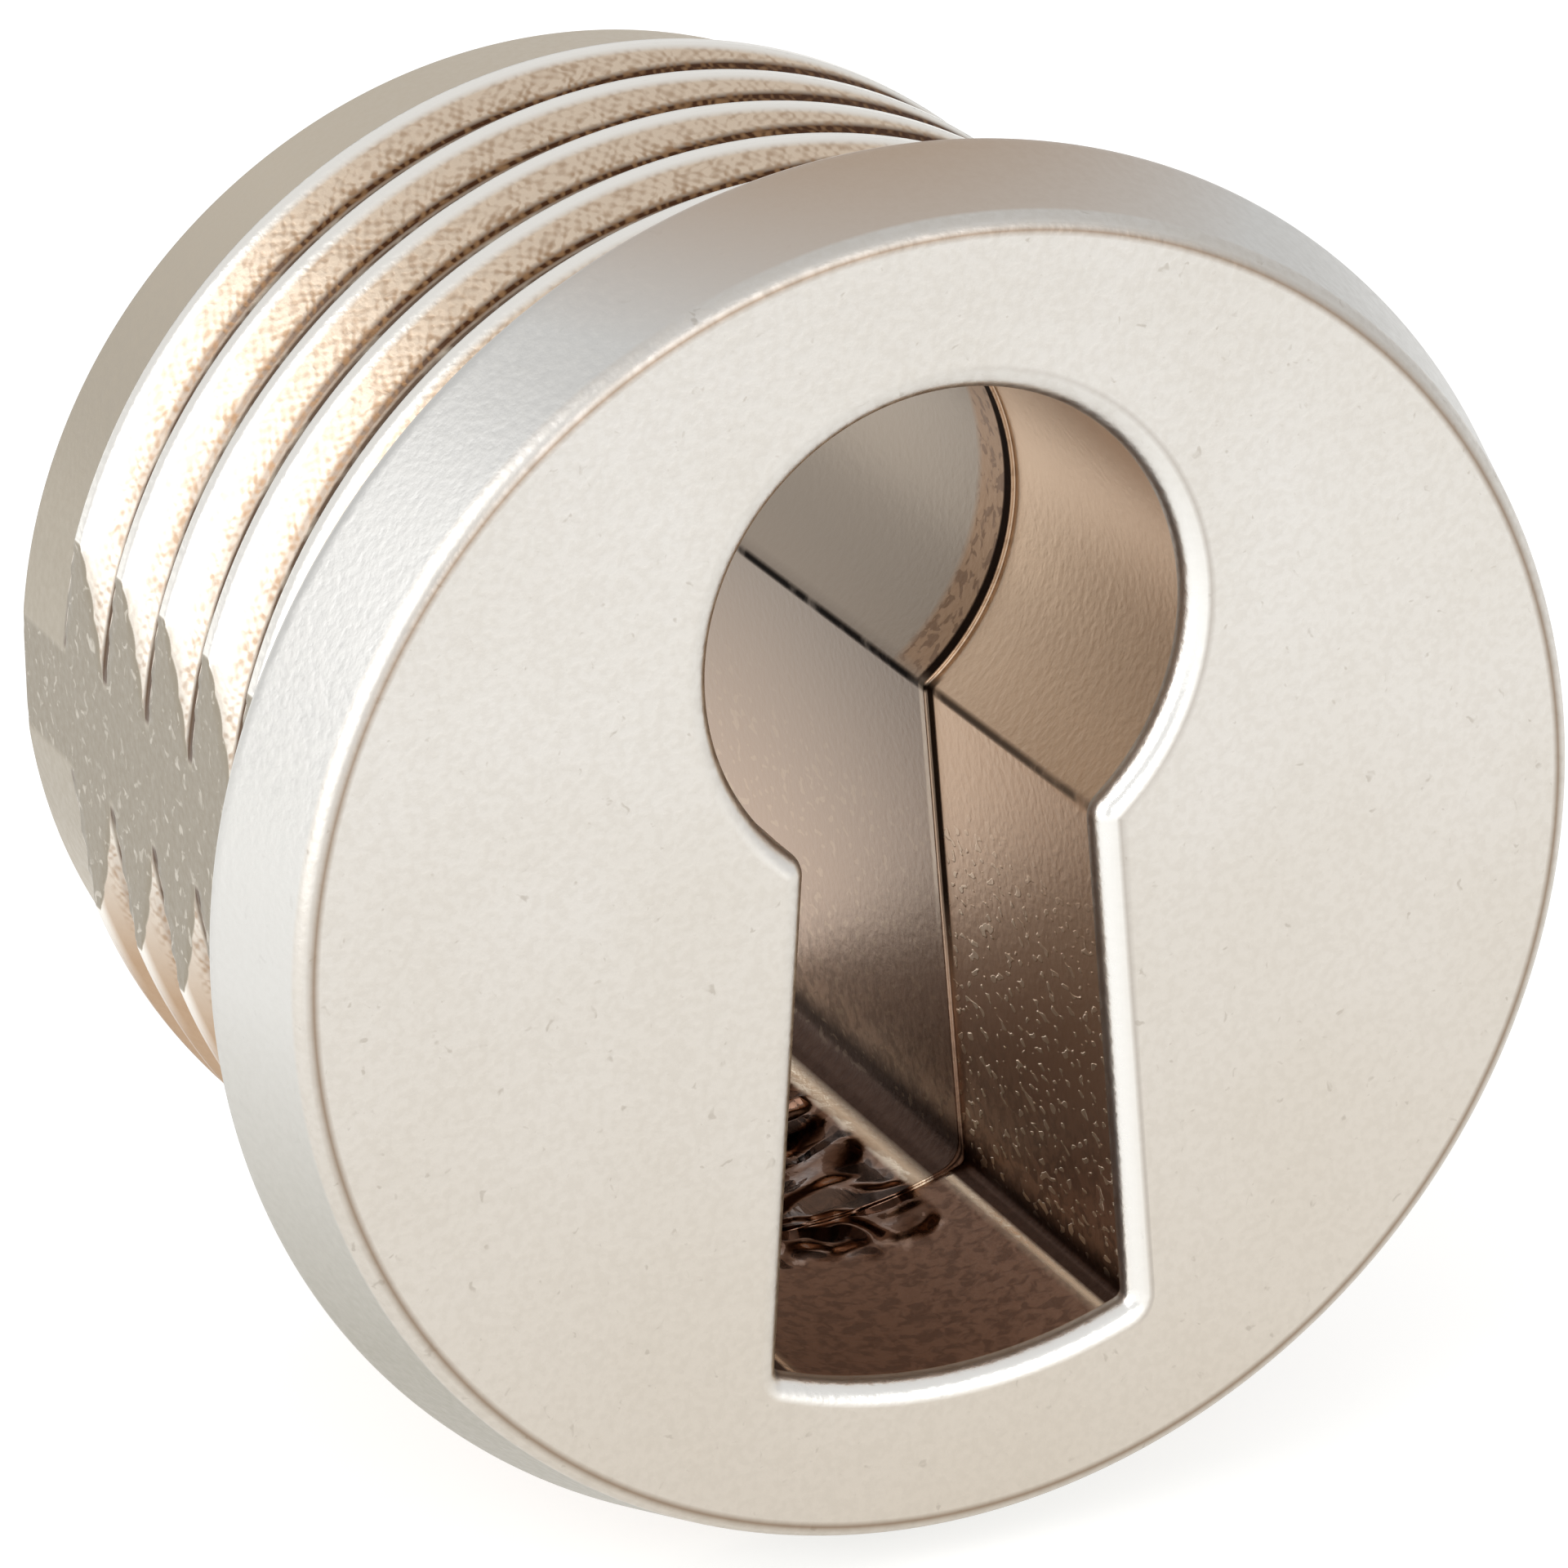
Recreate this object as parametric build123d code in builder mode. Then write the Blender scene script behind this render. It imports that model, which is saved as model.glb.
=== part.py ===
from build123d import *
import os

# Keyhole bushing: one zinc die casting that lines the keyhole of a cabinet door.
# Millimetres. The bushing's axis runs along Y. The visible face looks towards -Y,
# the barrel points to +Y into the door, and the keyhole stands upright along Z
# with its round part on top. The origin is on the axis, where the flange's
# underside meets the door.

# Flange: a disc whose side opens out towards the door
face_radius = 10.0
flange_back_radius = 10.7
flange_thickness = 2.2
face_edge_radius = 0.3
flange_back_edge_radius = 0.25

# Barrel: plain neck, threaded stretch and plain collar share one core radius
barrel_radius = 8.85
barrel_length = 12.4

# Thread: a coarse right-hand ridge that grips the wood, with a narrow crest and long
# flanks that nearly meet in the valley. The neck is the least plain length behind the
# flange, the collar is the plain length at the rear.
thread_pitch = 1.75
thread_height = 0.42
ridge_base_width = 1.6
ridge_crest_width = 0.2
ridge_root_depth = 0.03
neck_length = 0.7
collar_length = 1.23

# Fillet between flange and barrel: it ends this far outside the thread's crest, so that
# nothing overhangs the flange's flat underside
seat_clearance = 0.03

# Flats along both sides of the barrel, where the halves of the mould meet
flat_distance = 8.8
cutter_margin = 1.0

# Keyhole: round part over a slot that widens downwards to an arc round the axis
round_radius = 3.73
round_height = 3.8
slot_reach = 7.6
slot_top_width = 4.1
slot_bottom_width = 5.74
neck_radius = 0.4
lip_radius = 0.36

# The mould's front and rear core meet inside the keyhole. The rear one is smaller all
# round, which leaves a small ledge, and its slot has rounder bottom corners.
front_core_depth = 5.6
core_ledge = 0.07
front_corner_radius = 0.15
rear_corner_radius = 0.45

# Chamfers of the rear end: shares of the wall between the slot's end and the barrel's
# outside, so that a flat rim stays between them
wall_below_slot = barrel_radius - slot_reach
rear_edge_chamfer = 0.2 * wall_below_slot
rear_lip_chamfer = 0.16 * wall_below_slot

face_position = -flange_thickness
rear_position = barrel_length
crest_radius = barrel_radius + thread_height
ridge_end = barrel_length - collar_length - ridge_base_width / 2
thread_turns = int((ridge_end - neck_length - ridge_base_width / 2) / thread_pitch)
ridge_travel = thread_turns * thread_pitch


def section_plane(position):
    # A plane across the axis: its x is the bushing's X and its y is the bushing's Z
    return Plane(origin=(0, position, 0), x_dir=(1, 0, 0), z_dir=(0, -1, 0))


def keyhole_section(position, inset, corner_radius):
    # The keyhole's section with every wall moved inwards by the inset
    top = slot_top_width / 2 - inset
    bottom = slot_bottom_width / 2 - inset
    with BuildSketch(section_plane(position)) as section:
        with BuildLine():
            Polyline(
                (top, round_height),
                (bottom, -slot_reach),
                (-bottom, -slot_reach),
                (-top, round_height),
                close=True,
            )
        make_face()
        Circle(slot_reach - inset, mode=Mode.INTERSECT)
        with Locations((0, round_height)):
            Circle(round_radius - inset)
        fillet(section.vertices().sort_by(Axis.Y)[-2:], neck_radius)
        fillet(section.vertices().sort_by(Axis.Y)[:2], corner_radius)
    return section.sketch


# Thread ridge, swept along its helix from the neck to the collar. Its flanks run on
# below the barrel's surface, so that the ridge and the barrel join into one body.
flank_width = (ridge_base_width - ridge_crest_width) / 2
sunk_width = ridge_base_width / 2 + flank_width * ridge_root_depth / thread_height
with BuildPart() as thread:
    with BuildLine() as path:
        Helix(
            pitch=thread_pitch,
            height=ridge_travel,
            radius=barrel_radius,
            center=(0, ridge_end - ridge_travel, 0),
            direction=(0, 1, 0),
        )
    with BuildSketch(Plane(origin=path.line @ 0, x_dir=(0, 1, 0), z_dir=(1, 0, 0))):
        with BuildLine():
            Polyline(
                (-sunk_width, -ridge_root_depth),
                (-ridge_crest_width / 2, thread_height),
                (ridge_crest_width / 2, thread_height),
                (sunk_width, -ridge_root_depth),
                close=True,
            )
        make_face()
    sweep(path=path.line, is_frenet=True)

# The hollow of the keyhole: a front and a rear core that meet inside
with BuildPart() as keyhole:
    rear_section = keyhole_section(rear_position, core_ledge, rear_corner_radius)
    extrude(rear_section, amount=flange_thickness + barrel_length)
    front_section = keyhole_section(face_position, 0, front_corner_radius)
    extrude(front_section, amount=-front_core_depth)

# The bushing: flange and barrel turned about the axis, then threaded and pierced
with BuildPart() as bushing:
    with BuildSketch(Plane.XY):
        with BuildLine():
            Polyline(
                (0, face_position),
                (face_radius, face_position),
                (flange_back_radius, 0),
                (barrel_radius, 0),
                (barrel_radius, rear_position),
                (0, rear_position),
                close=True,
            )
        make_face()
    revolve(axis=Axis.Y)
    rings = bushing.edges().filter_by(GeomType.CIRCLE).group_by(Axis.Y)
    face_edge = rings[0]
    root_edge, flange_back_edge = rings[1].sort_by(SortBy.RADIUS)
    rear_edge = rings[-1]
    fillet(face_edge, face_edge_radius)
    fillet(flange_back_edge, flange_back_edge_radius)
    fillet(root_edge, thread_height + seat_clearance)
    chamfer(rear_edge, rear_edge_chamfer)

    # The thread starts and ends at the right-hand flat
    add(thread.part, rotation=(0, 90, 0))
    flat_cut = crest_radius - flat_distance + cutter_margin
    with BuildSketch(section_plane(0)):
        with Locations((flat_distance, 0)):
            Rectangle(flat_cut, 2 * crest_radius, align=(Align.MIN, Align.CENTER))
        mirror(about=Plane.YZ)
    extrude(amount=-barrel_length, mode=Mode.SUBTRACT)

    # The keyhole, with a rounded lip on the face and a chamfered one at the rear
    add(keyhole.part, mode=Mode.SUBTRACT)
    front_face = bushing.faces().sort_by(Axis.Y)[0]
    rear_face = bushing.faces().sort_by(Axis.Y)[-1]
    fillet(front_face.inner_wires()[0].edges(), lip_radius)
    chamfer(rear_face.inner_wires()[0].edges(), rear_lip_chamfer)

bushing.part.label = "keyhole_bushing"
os.makedirs("parts", exist_ok=True)
export_step(bushing.part, "parts/keyhole_bushing.step")
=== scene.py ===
import math

import bmesh
import bpy
import numpy as np
from mathutils import Matrix, Vector


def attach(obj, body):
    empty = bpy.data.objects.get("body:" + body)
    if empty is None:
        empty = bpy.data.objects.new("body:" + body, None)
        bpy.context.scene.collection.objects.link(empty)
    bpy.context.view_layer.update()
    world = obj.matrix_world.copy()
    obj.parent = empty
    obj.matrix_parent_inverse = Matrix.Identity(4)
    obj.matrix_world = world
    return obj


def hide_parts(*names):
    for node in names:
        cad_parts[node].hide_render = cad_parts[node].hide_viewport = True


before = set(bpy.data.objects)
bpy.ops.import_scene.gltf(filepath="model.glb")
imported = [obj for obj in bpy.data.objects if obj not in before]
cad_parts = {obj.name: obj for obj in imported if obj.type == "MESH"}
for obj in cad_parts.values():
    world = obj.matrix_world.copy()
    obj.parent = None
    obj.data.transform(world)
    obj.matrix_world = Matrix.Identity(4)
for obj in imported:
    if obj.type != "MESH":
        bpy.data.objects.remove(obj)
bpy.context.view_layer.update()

# Keyhole bushing in the CAD frame: axis along Y, visible face towards -Y, keyhole
# upright along Z. Sizes are in millimetres and turned to metres when a mesh is made.
MM = 0.001

# Flange
FACE_RADIUS = 10.0
FLANGE_BACK_RADIUS = 10.7
FLANGE_THICKNESS = 2.2
FACE_EDGE_RADIUS = 0.3
FLANGE_BACK_EDGE_RADIUS = 0.25
FACE_Y = -FLANGE_THICKNESS

# Barrel and its thread
BARREL_RADIUS = 8.85
BARREL_LENGTH = 12.4
ROOT_FILLET = 0.45
COLLAR_LENGTH = 1.23
THREAD_PITCH = 1.75
THREAD_TURNS = 5
RIDGE_HEIGHT = 0.42
RIDGE_BASE_WIDTH = 1.6
RIDGE_CREST_WIDTH = 0.2
RIDGE_END = BARREL_LENGTH - COLLAR_LENGTH - RIDGE_BASE_WIDTH / 2
FLAT_DISTANCE = 8.8

# Keyhole passage: a front and a rear mould core, which meet at a small ledge
ROUND_RADIUS = 3.73
ROUND_HEIGHT = 3.8
SLOT_REACH = 7.6
SLOT_TOP_HALF = 2.05
SLOT_BOTTOM_HALF = 2.87
NECK_RADIUS = 0.4
INNER_NECK_RADIUS = 0.1
LIP_RADIUS = 0.36
FRONT_CORE_DEPTH = 5.6
CORE_MEETING_Y = FACE_Y + FRONT_CORE_DEPTH
CORE_LEDGE = 0.07
FRONT_CORNER_RADIUS = 0.15
REAR_CORNER_RADIUS = 0.45

# Chamfers of the rear end, as shares of the wall that is left below the slot
WALL_BELOW_SLOT = BARREL_RADIUS - SLOT_REACH
REAR_EDGE_CHAMFER = 0.2 * WALL_BELOW_SLOT
REAR_LIP_CHAMFER = 0.16 * WALL_BELOW_SLOT

# Ripples of the slot's floor behind the seam of the cores
RIPPLE_HEIGHT = 0.09
RIPPLE_LENGTH = 1.4

# Cross marks of the thread: their distance round the barrel
CROSS_MARK_STEP = 0.2

# Every column of the bushing's mesh lies on a ray from this height on the keyhole's
# middle line, from where the whole outline of the keyhole can be seen
RAY_HEIGHT = 1.2

# A ring this far beside an edge keeps the shading of the faces next to it flat
SUPPORT = 0.03

# Steps between columns, in degrees about the axis: the plain one, a finer one where the
# thread ends beside each flat, and the finest at the slot's two bottom corners
PLAIN_STEP = 0.8
THREAD_END_STEP = 0.3
THREAD_END_NEAR = 4.5
THREAD_END_FAR = 20
CORNER_STEP = 0.2
CORNER_HALF_SPAN = 2.6
CORNER_ANGLES = (249.0, 291.0)

# Half the angle at +X over which the thread's rings slip back by one pitch, in degrees
SLIP_ANGLE = 5.5


def ramp(values, start, end):
    # 0 at the start, 1 at the end, and straight in between; the end may be the lower one
    return np.clip((values - start) / (end - start), 0, 1)


def linear(hex_colour):
    # sRGB hex to linear red, green, blue and alpha
    parts = [int(hex_colour[i:i + 2], 16) / 255 for i in (1, 3, 5)]
    return [p / 12.92 if p <= 0.04045 else ((p + 0.055) / 1.055) ** 2.4 for p in parts] + [1.0]


def node(tree, kind, inputs=None, **settings):
    # Adds a node with its settings; each input is a value or the socket it is linked to
    made = tree.nodes.new(kind)
    for name, value in settings.items():
        setattr(made, name, value)
    for key, value in (inputs or {}).items():
        if isinstance(value, bpy.types.NodeSocket):
            tree.links.new(value, made.inputs[key])
        else:
            made.inputs[key].default_value = value
    return made


# Outline of the keyhole

def keyhole_outline(inset, neck_radius, corner_radius):
    # Dense closed outline, as seen from the front: the angle of each point about the ray
    # height, the points, and their normals into the metal
    samples = 300
    hub = np.array((0.0, ROUND_HEIGHT))
    top = np.array((SLOT_TOP_HALF - inset, ROUND_HEIGHT))
    bottom = np.array((SLOT_BOTTOM_HALF - inset, -SLOT_REACH))
    down = (bottom - top) / np.linalg.norm(bottom - top)
    out = np.array((-down[1], down[0]))
    round_radius = ROUND_RADIUS - inset
    reach = SLOT_REACH - inset

    def lowest_centre(offset, middle, distance):
        # Centre beside the slot's wall at that offset, at that distance from the middle
        start = top + out * offset - middle
        along = start @ down
        root = math.sqrt(along * along - start @ start + distance * distance)
        return middle + start + down * (root - along)

    neck = lowest_centre(neck_radius, hub, round_radius + neck_radius)
    corner = lowest_centre(-corner_radius, np.zeros(2), reach - corner_radius)
    neck_start = math.atan2(*(hub - neck)[::-1])
    neck_end = math.atan2(*(-out)[::-1]) % (2 * math.pi)
    wall_angle = math.atan2(*out[::-1])
    floor_angle = math.atan2(*corner[::-1])
    pieces = []

    def arc(centre, radius, start, end, side):
        angle = np.linspace(start, end, samples)
        ray = np.stack((np.cos(angle), np.sin(angle)), 1)
        pieces.append((centre + ray * radius, ray * side))

    arc(hub, round_radius, math.pi / 2, math.atan2(*(neck - hub)[::-1]), 1)
    arc(neck, neck_radius, neck_start, neck_end, -1)
    wall = np.linspace(neck - out * neck_radius, corner + out * corner_radius, samples)
    pieces.append((wall, np.tile(out, (samples, 1))))
    arc(corner, corner_radius, wall_angle, floor_angle, 1)
    arc(np.zeros(2), reach, floor_angle, -math.pi / 2, 1)
    points = np.concatenate([p for p, n in pieces])
    normals = np.concatenate([n for p, n in pieces])
    mirrored = np.array((-1.0, 1.0))
    points = np.concatenate((points, points[::-1] * mirrored))
    normals = np.concatenate((normals, normals[::-1] * mirrored))
    angle = np.arctan2(points[:, 1] - RAY_HEIGHT, points[:, 0]) % (2 * math.pi)
    order = np.argsort(angle)
    return angle[order], points[order], normals[order]


# Columns of the bushing's mesh: every ring round the axis or round the keyhole has the
# same number of points, so that all of them close into one surface

def column_angles():
    # Angles about the axis, worked out from the steps at a probe every 0.01 degrees
    probe = np.linspace(0, 360, 36001)
    step = np.full(probe.shape, PLAIN_STEP)
    for flat in (0, 180, 360):
        off = np.abs(probe - flat)
        step[(off > THREAD_END_NEAR) & (off < THREAD_END_FAR)] = THREAD_END_STEP
    for corner in CORNER_ANGLES:
        step[np.abs(probe - corner) < CORNER_HALF_SPAN] = CORNER_STEP
    total = np.concatenate(((0,), np.cumsum(np.diff(probe) / step[:-1])))
    count = int(math.ceil(total[-1]))
    return np.radians(np.interp(np.arange(count) * total[-1] / count, total, probe))


theta = column_angles()
columns = len(theta)
ray_angle = np.arctan2(FACE_RADIUS * np.sin(theta) - RAY_HEIGHT, FACE_RADIUS * np.cos(theta))
ray_angle %= 2 * math.pi


def outline_columns(inset, neck_radius, corner_radius):
    # The outline's point and normal on each column's ray
    angle, points, normals = keyhole_outline(inset, neck_radius, corner_radius)

    def pick(values):
        return np.interp(ray_angle, angle, values, period=2 * math.pi)

    point = np.stack((pick(points[:, 0]), pick(points[:, 1])), 1)
    normal = np.stack((pick(normals[:, 0]), pick(normals[:, 1])), 1)
    return point, normal / np.linalg.norm(normal, axis=1, keepdims=True)


def circle(radius):
    return np.stack((np.cos(theta), np.sin(theta)), 1) * radius


# Both cores have a sharper neck inside than at their mouths
front_point, front_normal = outline_columns(0, NECK_RADIUS, FRONT_CORNER_RADIUS)
inner_point = outline_columns(0, INNER_NECK_RADIUS, FRONT_CORNER_RADIUS)[0]
rear_point, rear_normal = outline_columns(CORE_LEDGE, INNER_NECK_RADIUS, REAR_CORNER_RADIUS)
mouth_point, mouth_normal = outline_columns(CORE_LEDGE, NECK_RADIUS, REAR_CORNER_RADIUS)

# The neck on the right: its column is the one nearest to about where it lies
ABOUT_NECK = (2.2, 0.8)
right_side = rear_point[:, 0] > 0
neck_column = np.argmin(np.where(right_side, np.hypot(*(rear_point - ABOUT_NECK).T), np.inf))
neck_side, neck_height = rear_point[neck_column]

# Where a column runs along the sharp neck, along a bottom corner, along the floor, or
# through the round part above the neck
side = np.abs(rear_point[:, 0])
level = rear_point[:, 1]
on_crease = ramp(np.hypot(side - neck_side, level - neck_height), 0.091, 0.026)
on_floor = ramp(level, -6.9, -7.0)
near_floor = ramp(level, -6.2, -6.6)
# The bottom corners carry a painted highlight, and the walls just above them painted shade
front_corner = on_floor * ramp(np.abs(side - 2.47), 0.08, 0.03)
rear_corner = on_floor * ramp(np.abs(side - 2.08), 0.16, 0.06)
front_shade = near_floor * ramp(side, 2.52, 2.56)
rear_shade = near_floor * ramp(side, 2.17, 2.21)
wave_floor = on_floor * ramp(side, 1.95, 1.8)
in_round = ramp(level, neck_height, neck_height + 0.2)
in_slot = (1 - in_round) * ramp(level, -4.0, -2.5)

# Rings, and the marks that the finish reads at their points
rings = []
marks = {
    "barrel": [], "passage": [], "lip": [], "lip_line": [], "lip_edge": [], "rim": [], "side": [],
    "crease": [], "corner": [], "shade": [], "seam_shade": [], "seam_light": [], "round": [],
    "wave_floor": [],
}


def ring(plane_points, y, **mark):
    y = np.broadcast_to(y, columns)
    rings.append(np.stack((plane_points[:, 0], y, plane_points[:, 1]), 1))
    for name, values in marks.items():
        values.append(np.broadcast_to(mark.get(name, 0.0), columns).astype(float))


def corner_arc(before, corner, after, radius, count):
    # Points of the arc that rounds a corner of the turned profile
    before, corner, after = (np.array(p, float) for p in (before, corner, after))
    back = (before - corner) / np.linalg.norm(before - corner)
    ahead = (after - corner) / np.linalg.norm(after - corner)
    half = math.acos(back @ ahead) / 2
    centre = corner + (back + ahead) / np.linalg.norm(back + ahead) * radius / math.sin(half)
    start = corner + back * radius / math.tan(half) - centre
    end = corner + ahead * radius / math.tan(half) - centre
    turn = math.acos(start @ end / radius ** 2)
    blend = np.linspace(0, 1, count)
    weight = [(math.sin((1 - b) * turn), math.sin(b * turn)) for b in blend]
    return [centre + (start * a + end * b) / math.sin(turn) for a, b in weight]


def add_front_lip():
    # Rounded lip of the keyhole on the face. A painted highlight makes it bright at the right
    # and at the bottom, the line where it starts is painted shade on the right, and its left
    # and top edge has a thin warm tan line.
    steps = 9
    warm_edge_steps = (2, 3, 4)
    highlit = np.clip(0.35 + front_normal @ (0.6, -0.8), 0.1, 1)
    start_line = np.clip(front_normal @ (1.0, 0.1), 0, 1)
    warm_edge = np.clip(front_normal @ (-0.9, 0.6), 0, 1)
    for i in range(steps):
        turn = i / (steps - 1) * math.pi / 2
        offset = LIP_RADIUS * (1 - math.cos(turn))
        depth = FACE_Y + LIP_RADIUS * (1 - math.sin(turn))
        ring(
            front_point + front_normal * offset, depth,
            lip=highlit * math.sin(turn * 2) ** 0.5,
            lip_line=start_line if i == steps - 1 else 0,
            lip_edge=warm_edge if i in warm_edge_steps else 0,
        )
    ring(front_point + front_normal * (LIP_RADIUS + SUPPORT), FACE_Y, lip_line=0.6 * start_line)


def add_flange():
    # Face, rounded edge with its brown line of painted shade, side and underside
    before, edge, after = (0, FACE_Y), (FACE_RADIUS, FACE_Y), (FLANGE_BACK_RADIUS, 0)
    face_edge = corner_arc(before, edge, after, FACE_EDGE_RADIUS, 7)
    brown_line = (0.3, 1, 0.35, 0, 0, 0, 0)
    back_edge = corner_arc(edge, after, (BARREL_RADIUS, 0), FLANGE_BACK_EDGE_RADIUS, 6)
    inner = front_point + front_normal * (LIP_RADIUS + SUPPORT)
    outer = circle(face_edge[0][0] - SUPPORT)
    for share in (0.015, 0.3, 0.65, 1):
        ring(inner + (outer - inner) * share, FACE_Y)
    for (radius, y), brown in zip(face_edge, brown_line):
        ring(circle(radius), y, rim=brown)
    side_start, side_end = face_edge[-1], back_edge[0]
    for share in (0.04, 0.5, 0.96):
        radius, y = side_start + (side_end - side_start) * share
        ring(circle(radius), y, side=1)
    for radius, y in back_edge:
        ring(circle(radius), y, side=1)
    ring(circle(back_edge[-1][0] - SUPPORT), 0)


def add_root():
    # Fillet between the flange's underside and the barrel
    before, corner, after = (FLANGE_BACK_RADIUS, 0), (BARREL_RADIUS, 0), (BARREL_RADIUS, BARREL_LENGTH)
    root = corner_arc(before, corner, after, ROOT_FILLET, 6)
    ring(circle(root[0][0] + SUPPORT), 0)
    for radius, y in root:
        ring(circle(radius), y, barrel=1)
    ring(circle(BARREL_RADIUS), root[-1][1] + 0.1, barrel=1)


def add_threaded_stretch():
    # These rings follow the helix, so that the ridge's edges run along them. They slip
    # back by one pitch across the flat at +X, where no ridge shows.
    slip = math.radians(SLIP_ANGLE)
    turn = theta / (2 * math.pi)
    early = theta < slip
    late = theta > 2 * math.pi - slip
    turn[early] = 0.5 + (slip / (2 * math.pi) - 0.5) * theta[early] / slip
    turn[late] = 0.5 + (0.5 - slip / (2 * math.pi)) * (2 * math.pi - theta[late]) / slip

    # Distances of a turn's rings from its middle, with three at each edge of the crest. A
    # ring before the first turn and one after the last stand just past the thread's finish.
    crest_half = RIDGE_CREST_WIDTH / 2
    base_half = RIDGE_BASE_WIDTH / 2
    crest_edge = [crest_half - 0.05, crest_half, crest_half + 0.05]
    one_side = [*crest_edge, 0.33, 0.55, base_half - 0.07, base_half]
    across = [-d for d in reversed(one_side)] + one_side
    beyond = 0.53 * THREAD_PITCH
    first = RIDGE_END - THREAD_PITCH * (turn + THREAD_TURNS - 1)
    ring(circle(BARREL_RADIUS), first - beyond, barrel=1)
    for n in reversed(range(THREAD_TURNS)):
        middle = RIDGE_END - THREAD_PITCH * (turn + n)
        for distance in across:
            ring(circle(BARREL_RADIUS), middle + distance, barrel=1)
        ring(circle(BARREL_RADIUS), middle + (THREAD_PITCH / 2 if n else beyond), barrel=1)


def add_rear_end():
    # Collar, chamfer of the rear edge and rear face
    collar_rings = (11.45, 11.8)
    chamfer_y = BARREL_LENGTH - REAR_EDGE_CHAMFER
    rear_radius = BARREL_RADIUS - REAR_EDGE_CHAMFER
    for y in (*collar_rings, chamfer_y - SUPPORT, chamfer_y):
        ring(circle(BARREL_RADIUS), y, barrel=1)
    ring(circle(BARREL_RADIUS - SUPPORT), chamfer_y + SUPPORT, barrel=1)
    ring(circle(rear_radius + SUPPORT), BARREL_LENGTH - SUPPORT)
    ring(circle(rear_radius), BARREL_LENGTH)
    outer = circle(rear_radius - SUPPORT)
    inner = mouth_point + mouth_normal * (REAR_LIP_CHAMFER + SUPPORT)
    for share in (0, 0.5, 1):
        ring(outer + (inner - outer) * share, BARREL_LENGTH)


def rippled(behind):
    # The rear core's outline at this distance behind the seam. Its floor has ripples there,
    # as if the molten zinc had frozen too early; they fade out at both ends.
    x = rear_point[:, 0]
    drift = 0.5 * np.sin(1.9 * x + 0.8 * behind) + 0.35 * np.sin(0.7 * x - 1.3 * behind)
    wave = np.sin(2 * math.pi * (behind + drift) / RIPPLE_LENGTH)
    fade = ramp(behind, 0.3, 0.7) * ramp(behind, 5.6, 4.8)
    return rear_point + rear_normal * (wave * wave_floor * fade * RIPPLE_HEIGHT)[:, None]


def add_passage():
    # From the rear lip past the ledge between the cores to the front lip. In the round part
    # the seam of the cores has its dark gap behind the ledge, in the slot in front of it.
    inside = {
        "passage": 1, "crease": on_crease, "corner": rear_corner, "shade": rear_shade,
        "round": in_round, "wave_floor": wave_floor,
    }
    lip_y = BARREL_LENGTH - REAR_LIP_CHAMFER
    for offset in (REAR_LIP_CHAMFER, REAR_LIP_CHAMFER - SUPPORT, SUPPORT, 0):
        ring(mouth_point + mouth_normal * offset, lip_y + offset, **inside)
    ring(mouth_point, lip_y - SUPPORT, **inside)
    for behind in (6.0, 5.2, *np.arange(4.9, 0.6, -0.3)):
        ring(rippled(behind), CORE_MEETING_Y + behind, **inside)
    for behind, shade, light in (
        (0.26, 0, 0),
        (0.2, in_round, 0),
        (0.14, in_round, in_slot),
        (0.03, in_round, in_slot),
    ):
        ring(rear_point, CORE_MEETING_Y + behind, seam_shade=shade, seam_light=light, **inside)
    for share, shade, light in ((0, 0, 0), (0.5, 0, 0), (1, in_slot, in_round)):
        across = rear_point + (inner_point - rear_point) * share
        ring(across, CORE_MEETING_Y, seam_shade=shade, seam_light=light, **inside)
    inside.update(corner=front_corner, shade=front_shade, crease=0.75 * on_crease)
    for ahead, shade, light in (
        (0.03, in_slot, in_round),
        (0.14, in_slot, in_round),
        (0.2, 0, 0),
        (2.4, 0, 0),
        (4.0, 0, 0),
    ):
        ring(inner_point, CORE_MEETING_Y - ahead, seam_shade=shade, seam_light=light, **inside)
    ring(front_point, FACE_Y + LIP_RADIUS + SUPPORT, **inside)


def closed_mesh(name):
    # Joins each ring to the next one and the last to the first, in columns that close too
    count = len(rings)
    points = np.concatenate(rings) * MM
    row = np.arange(count)[:, None] * columns
    next_row = (np.arange(count)[:, None] + 1) % count * columns
    column = np.arange(columns)[None, :]
    next_column = (column + 1) % columns
    corners = (row + column, row + next_column, next_row + next_column, next_row + column)
    mesh = bpy.data.meshes.new(name)
    mesh.from_pydata(points.tolist(), [], np.stack(corners, 2).reshape(-1, 4).tolist())
    for mark, values in marks.items():
        stored = mesh.attributes.new(mark, "FLOAT", "POINT")
        stored.data.foreach_set("value", np.concatenate(values))
    shape = bmesh.new()
    shape.from_mesh(mesh)
    bmesh.ops.recalc_face_normals(shape, faces=shape.faces)
    shape.to_mesh(mesh)
    shape.free()
    mesh.polygons.foreach_set("use_smooth", [True] * len(mesh.polygons))
    mesh.update()
    return mesh


add_front_lip()
add_flange()
add_root()
add_threaded_stretch()
add_rear_end()
add_passage()
body = bpy.data.objects.new("keyhole_bushing_body", closed_mesh("keyhole_bushing_body"))
bpy.context.scene.collection.objects.link(body)


# Material of the bushing

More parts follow.
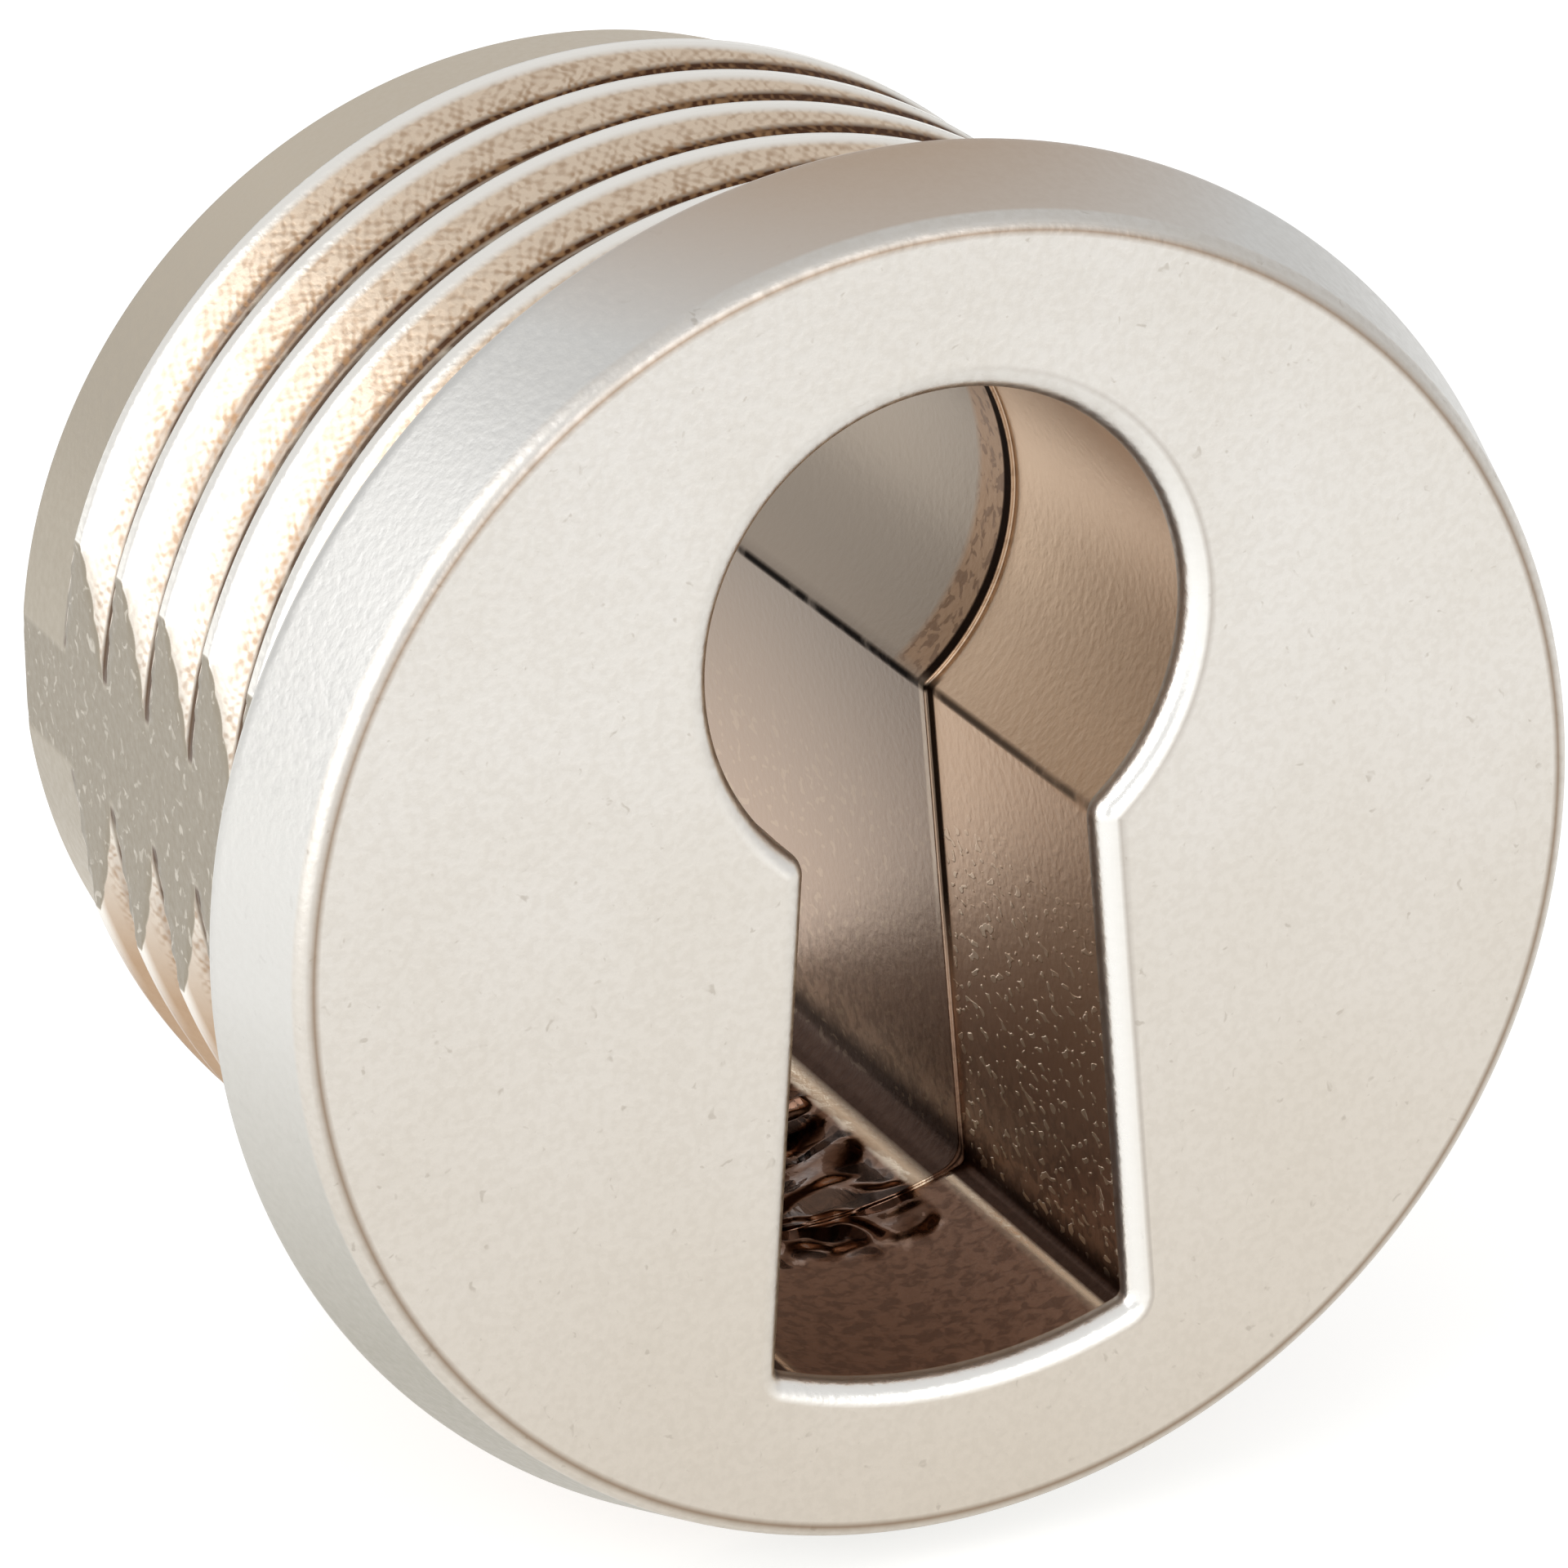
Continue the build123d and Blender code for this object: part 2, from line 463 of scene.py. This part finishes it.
def surface_patterns(tree, mm):
    # Noise patterns, by the size of their spots in millimetres. The blasted grain is really
    # about 0.05 mm and is drawn at 0.14 mm, so that it shows in the render.
    spots = {}
    for name, size, detail, distortion in (
        ("grain", 0.14, 3, 0),
        ("fleck", 0.22, 2, 0.6),
        ("patch", 0.7, 3, 0.4),
        ("cloud", 3.0, 4, 0),
        ("wave", 1.3, 0, 1.6),
    ):
        spots[name] = node(tree, "ShaderNodeTexNoise", {
            "Vector": mm, "Scale": 1 / size, "Detail": detail, "Distortion": distortion,
        }).outputs["Fac"]

    # Sparks on the passage's walls are longer along the axis
    squeezed = node(tree, "ShaderNodeVectorMath", {0: mm, 1: (1.0, 0.6, 1.0)}, operation="MULTIPLY")
    spots["spark"] = node(tree, "ShaderNodeTexNoise", {
        "Vector": squeezed.outputs[0], "Scale": 1 / 0.13, "Detail": 0.5,
    }).outputs["Fac"]
    return spots


def cross_marks(tree, axes, ridge, spots):
    # Fine marks across the thread, in rows that run along the ridge
    turn = node(tree, "ShaderNodeMath", {0: axes["Z"], 1: axes["X"]}, operation="ARCTAN2")
    wobble = node(tree, "ShaderNodeMath", {
        0: spots["patch"], 1: 0.07, 2: turn.outputs[0],
    }, operation="MULTIPLY_ADD")
    swing = node(tree, "ShaderNodeMath", {
        0: wobble.outputs[0], 1: 2 * math.pi * BARREL_RADIUS / CROSS_MARK_STEP,
    }, operation="MULTIPLY")
    cross = node(tree, "ShaderNodeMath", {0: swing.outputs[0]}, operation="SINE")
    rise = node(tree, "ShaderNodeMath", {0: ridge, 1: 7 * math.pi}, operation="MULTIPLY")
    rows = node(tree, "ShaderNodeMath", {0: rise.outputs[0]}, operation="COSINE")
    weave = node(tree, "ShaderNodeMath", {0: cross.outputs[0], 1: rows.outputs[0]}, operation="MULTIPLY")
    return node(tree, "ShaderNodeMath", {
        0: weave.outputs[0], 1: 0.2, 2: spots["fleck"],
    }, operation="MULTIPLY_ADD").outputs[0]


def surface_masks(tree, axes, spots):
    # Where each layer of the finish lies. It starts from the marks on the mesh's points.
    mask = {
        name: node(tree, "ShaderNodeAttribute", attribute_name=name).outputs["Fac"]
        for name in (*marks, "thread", "ridge", "spare")
    }
    weave = cross_marks(tree, axes, mask["ridge"], spots)
    height = node(tree, "ShaderNodeMath", {0: axes["Z"]}, operation="ABSOLUTE").outputs[0]
    shore = node(tree, "ShaderNodeMath", {
        0: spots["patch"], 1: 1.5, 2: axes["Y"],
    }, operation="MULTIPLY_ADD").outputs[0]

    # The painted shade along the foot of each flank, a dark line, climbs the flank towards the right
    climb = node(tree, "ShaderNodeMapRange", {
        "Value": axes["X"], "From Min": -1.0, "From Max": 5.0, "To Min": 0.0, "To Max": 0.66,
    }).outputs[0]
    foot = node(tree, "ShaderNodeMath", {0: mask["ridge"], 1: climb}, operation="SUBTRACT").outputs[0]

    # Each mask rises from 0 to 1 while its source goes from the first to the second value
    for name, source, low, high in (
        # Face and flange
        ("high face", axes["Z"], 4.0, 9.0),
        ("low face", axes["Z"], 9.0, -10.0),
        ("upper", axes["Z"], 8.9, 10.6),
        ("lower", axes["Z"], 0.0, -6.0),
        ("sand", spots["grain"], 0.42, 0.6),
        ("cool", spots["cloud"], 0.35, 0.7),
        ("bright fleck", spots["fleck"], 0.60, 0.68),
        ("dark fleck", spots["fleck"], 0.32, 0.25),
        # Barrel, thread and flats
        ("uncut", mask["spare"], 0.0, 0.01),
        ("cut", mask["spare"], 0.0, -0.01),
        ("flank", mask["ridge"], 0.01, 0.09),
        ("crest", mask["ridge"], 0.8, 0.97),
        ("below crest", mask["ridge"], 0.94, 0.78),
        ("lower flank", mask["ridge"], 0.55, 0.3),
        ("foot shade", foot, 0.3, 0.16),
        ("marks", weave, 0.42, 0.78),
        ("gaps", spots["patch"], 0.25, 0.5),
        ("high", height, 2.0, 7.5),
        ("overhead", axes["Z"], 2.2, 7.4),
        ("above", axes["Z"], -4.4, -2.8),
        ("under", axes["Z"], -1.6, -3.8),
        # Passage
        ("rear", axes["Y"], CORE_MEETING_Y - 0.03, CORE_MEETING_Y + 0.03),
        ("front", axes["Y"], CORE_MEETING_Y, CORE_MEETING_Y - 0.1),
        ("near seam", axes["Y"], CORE_MEETING_Y + 1.15, CORE_MEETING_Y + 0.95),
        ("wave zone", shore, CORE_MEETING_Y - 0.7, CORE_MEETING_Y - 0.2),
        ("slot part", mask["round"], 1.0, 0.0),
        ("slot", axes["Z"], -0.5, -4.5),
        ("low", axes["Z"], 1.5, -6.0),
        ("deep", axes["Z"], -4.0, -6.5),
        ("floor", axes["Z"], -6.55, -7.0),
        ("above floor", axes["Z"], -6.95, -6.6),
        ("pits", spots["fleck"], 0.56, 0.4),
        ("band dots", spots["fleck"], 0.49, 0.42),
        ("glint", spots["spark"], 0.63, 0.67),
    ):
        mask[name] = node(tree, "ShaderNodeMapRange", {
            "Value": source, "From Min": low, "From Max": high,
        }).outputs[0]

    # Each of these is the product of the masks after its name
    for name, first, *others in (
        ("flange top", "upper", "side"),
        ("flange low", "lower", "side"),
        ("flat", "cut", "barrel"),
        ("flat specks", "bright fleck", "flat", "gaps"),
        ("barrel painted sheen", "high", "barrel"),
        ("thread", "thread", "uncut"),
        ("valley", "thread", "gaps"),
        ("flank", "flank", "thread"),
        ("crest", "crest", "thread", "above"),
        ("tan", "below crest", "flank", "overhead"),
        ("under", "under", "flank"),
        ("foot line", "foot shade", "overhead", "flank"),
        ("lower foot line", "foot shade", "under"),
        ("flank marks", "marks", "flank"),
        ("foot marks", "flank marks", "lower flank"),
        ("top marks", "tan", "marks"),
        ("rear wall", "rear", "passage"),
        ("rear slot", "rear wall", "slot part"),
        ("front wall", "front", "passage"),
        ("seam band", "rear wall", "near seam", "round"),
        ("band specks", "band dots", "seam band"),
        ("slot shade", "low", "passage"),
        ("slot floor", "floor", "passage"),
        ("waves", "wave zone", "wave_floor"),
        ("pits", "pits", "deep", "passage"),
        ("glints", "glint", "slot", "passage", "above floor"),
        ("front glints", "glints", "front wall"),
        ("crease", "crease", "gaps"),
    ):
        product = mask[first]
        for other in others:
            factors = {0: product, 1: mask[other]}
            product = node(tree, "ShaderNodeMath", factors, operation="MULTIPLY").outputs[0]
        mask[name] = product
    return mask


def surface_colour(tree, mask):
    # Two close tones of the plate, and layers over them: mask, strength and colour
    colour = node(tree, "ShaderNodeMix", {
        "Factor": mask["cool"], "A": linear("#D6D3CE"), "B": linear("#DBD9D6"),
    }, data_type="RGBA").outputs["Result"]
    for name, strength, tone in (
        # Face and flange
        # Painted light and shade: the face is painted greyer towards its top and warmer and darker towards
        # its bottom
        ("high face", 0.5, "#C6C0B8"),
        ("low face", 0.75, "#C4B8A8"),
        ("sand", 0.14, "#B0A89C"),
        ("dark fleck", 0.45, "#A39A8E"),
        ("side", 0.7, "#D3D3D1"),
        # Painted light and shade: the flange's side is painted browner at its top and greyer and darker low
        # down
        ("flange top", 0.9, "#B8A28D"),
        ("flange low", 0.8, "#A09C8F"),
        # Barrel, flats and thread
        ("barrel", 1.0, "#ADA495"),
        # Painted sheen: the barrel is painted lighter towards its top and its bottom
        ("barrel painted sheen", 1.0, "#CBC0AF"),
        ("flat", 0.8, "#938A7B"),
        ("flat specks", 0.7, "#CFC8BC"),
        # The valleys are painted dark brown: partly browner plating, partly painted shade
        ("valley", 0.9, "#5A4230"),
        ("flank", 1.0, "#DED6CB"),
        # Painted reflection: the flanks below the crests are painted tan on the barrel's top
        ("tan", 0.65, "#D9C0A4"),
        # Painted shade: a dark line along the foot of each flank on the barrel's top
        ("foot line", 1.0, "#4A2E1C"),
        # Painted reflection and shade: the flanks low down on the barrel are painted orange-brown
        ("under", 0.75, "#A67E52"),
        # Painted shade: the same dark line along the flanks low down on the barrel
        ("lower foot line", 0.85, "#583A26"),
        ("foot marks", 0.6, "#9A7856"),
        ("top marks", 0.5, "#94704E"),
        # Painted highlight: the crests are painted near white, except low down on the barrel
        ("crest", 1.0, "#F5F2EC"),
        # Passage
        ("passage", 1.0, "#E0C4A8"),
        ("rear wall", 1.0, "#A09385"),
        # Painted shade: the rear wall is painted darker in the slot than in the round part
        ("rear slot", 1.0, "#84786C"),
        ("seam band", 0.8, "#A27F5F"),
        ("band specks", 0.6, "#664A36"),
        # Painted light and shade by height in the slot: its walls take a browner tone towards the bottom,
        # lighter than the rear wall and darker than the front one
        ("slot shade", 0.82, "#D0B39D"),
        # Painted shade: the slot's floor is painted dark brown
        ("slot floor", 0.85, "#8F6E5C"),
        ("waves", 0.8, "#6A5042"),
        ("pits", 0.4, "#3E2A20"),
        ("shade", 0.9, "#3A2418"),
        ("glints", 0.2, "#EBD6B8"),
        ("front glints", 1.0, "#FFF2DC"),
        # Painted highlight: a cream band along the bottom corners of the slot's floor
        ("corner", 1.0, "#FFF0D8"),
        ("crease", 1.0, "#1E120A"),
        ("seam_light", 0.45, "#E6D6C2"),
        ("seam_shade", 0.95, "#2A1A10"),
        # Edges
        # Painted shade: a brown line along the face's rounded edge
        ("rim", 0.8, "#806850"),
        # Painted highlight: the keyhole's lip is painted white at the right and at the bottom
        ("lip", 0.85, "#F6F5F2"),
        # Painted shade: a grey line where the lip starts, on the right
        ("lip_line", 0.6, "#A8A098"),
        ("lip_edge", 0.7, "#CFAF84"),
    ):
        amount = node(tree, "ShaderNodeMath", {0: mask[name], 1: strength}, operation="MULTIPLY").outputs[0]
        colour = node(tree, "ShaderNodeMix", {
            "Factor": amount, "A": colour, "B": linear(tone),
        }, data_type="RGBA").outputs["Result"]
    return colour


def surface_roughness(tree, mask, spots):
    # Sandy plate, smoother on the painted highlights of the lip and the crests and where it is glossy, and
    # dull in creases and gaps
    rough = node(tree, "ShaderNodeMapRange", {
        "Value": spots["grain"], "From Min": 0.3, "From Max": 0.7, "To Min": 0.34, "To Max": 0.46,
    }).outputs[0]
    for name, value in (
        ("lip", 0.26),
        ("crest", 0.28),
        ("passage", 0.36),
        ("waves", 0.11),
        ("corner", 0.14),
        ("crease", 0.9),
        ("seam_shade", 0.9),
    ):
        rough = node(tree, "ShaderNodeMix", {"Factor": mask[name], "A": rough, "B": value}).outputs["Result"]
    return rough


def surface_bump(tree, mask, spots):
    # Grain of the plate, and reliefs over it: height, strength and depth in millimetres.
    # The waves stand on the ripples that the mesh has.
    normal = node(tree, "ShaderNodeBump", {
        "Height": spots["grain"], "Strength": 0.24, "Distance": 0.03 * MM,
    }).outputs[0]
    for height, strength, depth in (
        (mask["flank marks"], 0.25, -0.01),
        (spots["wave"], mask["waves"], 1.0),
        (mask["front glints"], 0.5, 0.03),
    ):
        normal = node(tree, "ShaderNodeBump", {
            "Height": height, "Strength": strength, "Distance": depth * MM, "Normal": normal,
        }).outputs[0]
    return normal


def satin_nickel():
    # Satin nickel plate on a zinc die casting: a soft metallic sheen without mirror
    # images, a fine sandy grain from the blasted mould, and thin browner plating inside
    # the keyhole. Light and shade are painted into its colour by height and place:
    # highlights on the keyhole's lip, the thread's crests and the slot's bottom corners,
    # and shade in the thread's valleys, which are partly browner plating too, at the feet
    # of the flanks and down in the slot.
    material = bpy.data.materials.new("satin_nickel_on_zinc")
    material.use_nodes = True
    tree = material.node_tree
    tree.nodes.clear()
    place = node(tree, "ShaderNodeTexCoord").outputs["Object"]
    mm = node(tree, "ShaderNodeVectorMath", {0: place, "Scale": 1 / MM}, operation="SCALE").outputs[0]
    axes = node(tree, "ShaderNodeSeparateXYZ", {0: mm}).outputs
    spots = surface_patterns(tree, mm)
    mask = surface_masks(tree, axes, spots)
    shader = node(tree, "ShaderNodeBsdfPrincipled", {
        "Base Color": surface_colour(tree, mask),
        "Metallic": 1.0,
        "Roughness": surface_roughness(tree, mask, spots),
        "Normal": surface_bump(tree, mask, spots),
    })
    node(tree, "ShaderNodeOutputMaterial", {"Surface": shader.outputs[0]})
    return material


# Thread: Geometry Nodes raise the ridge along its helix and cut it at both flats

def thread_tree():
    tree = bpy.data.node_groups.new("thread_and_flats", "GeometryNodeTree")
    tree.interface.new_socket("Geometry", in_out="INPUT", socket_type="NodeSocketGeometry")
    sizes = {
        "Pitch": THREAD_PITCH * MM,
        "Turns": THREAD_TURNS,
        "Ridge end": RIDGE_END * MM,
        "Ridge height": RIDGE_HEIGHT * MM,
        "Crest width": RIDGE_CREST_WIDTH * MM,
        "Base width": RIDGE_BASE_WIDTH * MM,
        "Flat distance": FLAT_DISTANCE * MM,
    }
    names = {}
    for name in sizes:
        socket = tree.interface.new_socket(name, in_out="INPUT", socket_type="NodeSocketFloat")
        names[name] = socket.identifier
    socket = tree.interface.new_socket("Material", in_out="INPUT", socket_type="NodeSocketMaterial")
    names["Material"] = socket.identifier
    tree.interface.new_socket("Geometry", in_out="OUTPUT", socket_type="NodeSocketGeometry")
    given = node(tree, "NodeGroupInput").outputs

    # How many pitches a point lies before the ridge's end, less its turn about the axis
    place = node(tree, "GeometryNodeInputPosition").outputs[0]
    axes = node(tree, "ShaderNodeSeparateXYZ", {0: place}).outputs
    angle = node(tree, "ShaderNodeMath", {0: axes["Z"], 1: axes["X"]}, operation="ARCTAN2").outputs[0]
    turns = node(tree, "ShaderNodeMath", {0: angle, 1: 2 * math.pi}, operation="DIVIDE").outputs[0]
    turn = node(tree, "ShaderNodeMath", {0: turns}, operation="FRACT").outputs[0]
    before = node(tree, "ShaderNodeMath", {
        0: given["Ridge end"], 1: axes["Y"],
    }, operation="SUBTRACT").outputs[0]
    pitches = node(tree, "ShaderNodeMath", {0: before, 1: given["Pitch"]}, operation="DIVIDE").outputs[0]
    travel = node(tree, "ShaderNodeMath", {0: pitches, 1: turn}, operation="SUBTRACT").outputs[0]

    # Distance along the axis from the nearest turn of the ridge
    last = node(tree, "ShaderNodeMath", {0: given["Turns"], 1: 1.0}, operation="SUBTRACT").outputs[0]
    rounded = node(tree, "ShaderNodeMath", {0: travel}, operation="ROUND").outputs[0]
    nearest = node(tree, "ShaderNodeClamp", {"Value": rounded, "Min": 0.0, "Max": last}).outputs[0]
    off = node(tree, "ShaderNodeMath", {0: travel, 1: nearest}, operation="SUBTRACT").outputs[0]
    far = node(tree, "ShaderNodeMath", {0: off}, operation="ABSOLUTE").outputs[0]
    distance = node(tree, "ShaderNodeMath", {0: far, 1: given["Pitch"]}, operation="MULTIPLY").outputs[0]

    # Trapezoid section of the ridge
    crest = node(tree, "ShaderNodeMath", {0: given["Crest width"], 1: 2.0}, operation="DIVIDE").outputs[0]
    base = node(tree, "ShaderNodeMath", {0: given["Base width"], 1: 2.0}, operation="DIVIDE").outputs[0]
    rise = node(tree, "ShaderNodeMapRange", {
        "Value": distance, "From Min": crest, "From Max": base,
        "To Min": given["Ridge height"], "To Max": 0.0,
    }).outputs[0]
    radial = node(tree, "ShaderNodeCombineXYZ", {"X": axes["X"], "Z": axes["Z"]}).outputs[0]
    radius = node(tree, "ShaderNodeVectorMath", {0: radial}, operation="LENGTH").outputs["Value"]
    raised = node(tree, "ShaderNodeMath", {0: radius, 1: rise}, operation="ADD").outputs[0]

    # No point of the barrel stands further out than the flats
    side = node(tree, "ShaderNodeMath", {0: axes["X"]}, operation="ABSOLUTE").outputs[0]
    lean = node(tree, "ShaderNodeMath", {0: side, 1: radius}, operation="DIVIDE").outputs[0]
    lean = node(tree, "ShaderNodeMath", {0: lean, 1: 0.001}, operation="MAXIMUM").outputs[0]
    limit = node(tree, "ShaderNodeMath", {0: given["Flat distance"], 1: lean}, operation="DIVIDE").outputs[0]
    kept = node(tree, "ShaderNodeMath", {0: raised, 1: limit}, operation="MINIMUM").outputs[0]
    scale = node(tree, "ShaderNodeMath", {0: kept, 1: radius}, operation="DIVIDE").outputs[0]
    moved = node(tree, "ShaderNodeVectorMath", {0: radial, "Scale": scale}, operation="SCALE").outputs[0]
    along = node(tree, "ShaderNodeCombineXYZ", {"Y": axes["Y"]}).outputs[0]
    target = node(tree, "ShaderNodeVectorMath", {0: moved, 1: along}, operation="ADD").outputs[0]

    # Marks for the finish: the threaded stretch, how far up the ridge a point lies, and
    # how many millimetres the flats are clear of it, which is below 0 on a flat
    share = node(tree, "ShaderNodeMath", {0: rise, 1: given["Ridge height"]}, operation="DIVIDE").outputs[0]
    near = node(tree, "ShaderNodeMath", {0: far, 1: 0.51}, operation="LESS_THAN").outputs[0]
    room = node(tree, "ShaderNodeMath", {0: limit, 1: raised}, operation="SUBTRACT").outputs[0]
    spare = node(tree, "ShaderNodeMapRange", {
        "Value": room, "From Min": -MM, "From Max": MM, "To Min": -1.0, "To Max": 1.0,
    }).outputs[0]
    barrel = node(tree, "GeometryNodeInputNamedAttribute", {"Name": "barrel"}, data_type="FLOAT").outputs[0]
    inside = node(tree, "ShaderNodeMath", {0: near, 1: barrel}, operation="MULTIPLY").outputs[0]
    ridge = node(tree, "ShaderNodeMath", {0: share, 1: inside}, operation="MULTIPLY").outputs[0]
    marked = given["Geometry"]
    for name, value in (("thread", inside), ("ridge", ridge), ("spare", spare)):
        marked = node(tree, "GeometryNodeStoreNamedAttribute", {
            "Geometry": marked, "Name": name, "Value": value,
        }, data_type="FLOAT", domain="POINT").outputs[0]
    chosen = node(tree, "ShaderNodeMath", {0: barrel, 1: 0.5}, operation="GREATER_THAN").outputs[0]
    threaded = node(tree, "GeometryNodeSetPosition", {
        "Geometry": marked, "Selection": chosen, "Position": target,
    }).outputs[0]
    whole = node(tree, "GeometryNodeRealizeInstances", {"Geometry": threaded}).outputs[0]
    finished = node(tree, "GeometryNodeSetMaterial", {
        "Geometry": whole, "Material": given["Material"],
    }).outputs[0]
    node(tree, "NodeGroupOutput", {"Geometry": finished})
    return tree, names, sizes


tree, names, sizes = thread_tree()
modifier = body.modifiers.new("thread_and_flats", "NODES")
modifier.node_group = tree
for name, value in sizes.items():
    modifier[names[name]] = float(value)
modifier[names["Material"]] = satin_nickel()
graph = bpy.context.evaluated_depsgraph_get()
finished_mesh = bpy.data.meshes.new_from_object(body.evaluated_get(graph), depsgraph=graph)
body.modifiers.remove(modifier)
body.data = finished_mesh
finished_mesh.name = "keyhole_bushing_body"
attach(body, "root")
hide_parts("keyhole_bushing")


# Floor, just below the flange
FLOOR_HALF = 3000
FLOOR_Z = -10.65
PAPER_GLOW = 0.66


def studio_paper():
    # White paper: its diffuse part is lit and takes the shadow, and its glow, which only
    # the camera, gloss and glass see, brings it to the plain white behind the object
    material = bpy.data.materials.new("studio_paper")
    material.use_nodes = True
    tree = material.node_tree
    tree.nodes.clear()
    path = node(tree, "ShaderNodeLightPath").outputs
    seen = path["Is Camera Ray"]
    for ray in ("Is Glossy Ray", "Is Transmission Ray"):
        seen = node(tree, "ShaderNodeMath", {0: seen, 1: path[ray]}, operation="MAXIMUM").outputs[0]
    glow = node(tree, "ShaderNodeMath", {0: seen, 1: PAPER_GLOW}, operation="MULTIPLY").outputs[0]
    plain = node(tree, "ShaderNodeEmission", {"Color": linear("#FFFFFF"), "Strength": glow}).outputs[0]
    lit = node(tree, "ShaderNodeBsdfDiffuse", {"Color": linear("#BCBCBA")}).outputs[0]
    both = node(tree, "ShaderNodeAddShader", {0: plain, 1: lit}).outputs[0]
    node(tree, "ShaderNodeOutputMaterial", {"Surface": both})
    return material


floor_corners = [(x, y, FLOOR_Z) for x, y in ((-1, -1), (1, -1), (1, 1), (-1, 1))]
floor_corners = [(x * FLOOR_HALF * MM, y * FLOOR_HALF * MM, z * MM) for x, y, z in floor_corners]
floor_mesh = bpy.data.meshes.new("floor")
floor_mesh.from_pydata(floor_corners, [], [(0, 1, 2, 3)])
floor_mesh.materials.append(studio_paper())
floor = bpy.data.objects.new("floor", floor_mesh)
bpy.context.scene.collection.objects.link(floor)


# Light: an even white sky and two softboxes
SKY_STRENGTH = 0.8

world = bpy.data.worlds.new("studio")
world.use_nodes = True
sky = world.node_tree.nodes["Background"].inputs
sky["Color"].default_value = (1, 1, 1, 1)
sky["Strength"].default_value = SKY_STRENGTH
bpy.context.scene.world = world


def softbox(name, place, size, strength):
    # A soft square lamp that looks at the object; strength is its brightness, where 1
    # is white
    data = bpy.data.lights.new(name, "AREA")
    data.shape = "SQUARE"
    data.size = size * MM
    data.energy = strength * math.pi * (size * MM) ** 2
    lamp = bpy.data.objects.new(name, data)
    bpy.context.scene.collection.objects.link(lamp)
    lamp.location = Vector(place) * MM
    lamp.rotation_mode = "QUATERNION"
    lamp.rotation_quaternion = (-Vector(place)).to_track_quat("-Z", "Y")
    lamp.visible_camera = False


softbox("left_softbox", (-300, -60, 140), 360, 1.9)
softbox("front_softbox", (40, -320, 70), 260, 1.9)


# Camera at the photograph's viewing angle
AZIMUTH = math.radians(24.55)
ELEVATION = math.radians(22.05)
ROLL = math.radians(-0.82)
DISTANCE = 120
AIM = Vector((-2.664, FACE_Y, 2.182))
LENS = 196.3
SENSOR_WIDTH = 36
CLIP_START = 10
CLIP_END = 20000

back = Vector((
    -math.sin(AZIMUTH) * math.cos(ELEVATION),
    -math.cos(AZIMUTH) * math.cos(ELEVATION),
    math.sin(ELEVATION),
))
sideways = Vector((math.cos(AZIMUTH), -math.sin(AZIMUTH), 0))
upright = back.cross(sideways)
right = sideways * math.cos(ROLL) + upright * math.sin(ROLL)
up = upright * math.cos(ROLL) - sideways * math.sin(ROLL)
camera_data = bpy.data.cameras.new("camera")
camera_data.sensor_width = SENSOR_WIDTH
camera_data.lens = LENS
camera_data.clip_start = CLIP_START * MM
camera_data.clip_end = CLIP_END * MM
camera = bpy.data.objects.new("camera", camera_data)
bpy.context.scene.collection.objects.link(camera)
turned = Matrix((right, up, back)).transposed().to_4x4()
camera.matrix_world = Matrix.Translation(AIM * MM + back * (DISTANCE * MM)) @ turned
bpy.context.scene.camera = camera
bpy.context.scene.view_settings.view_transform = "Standard"
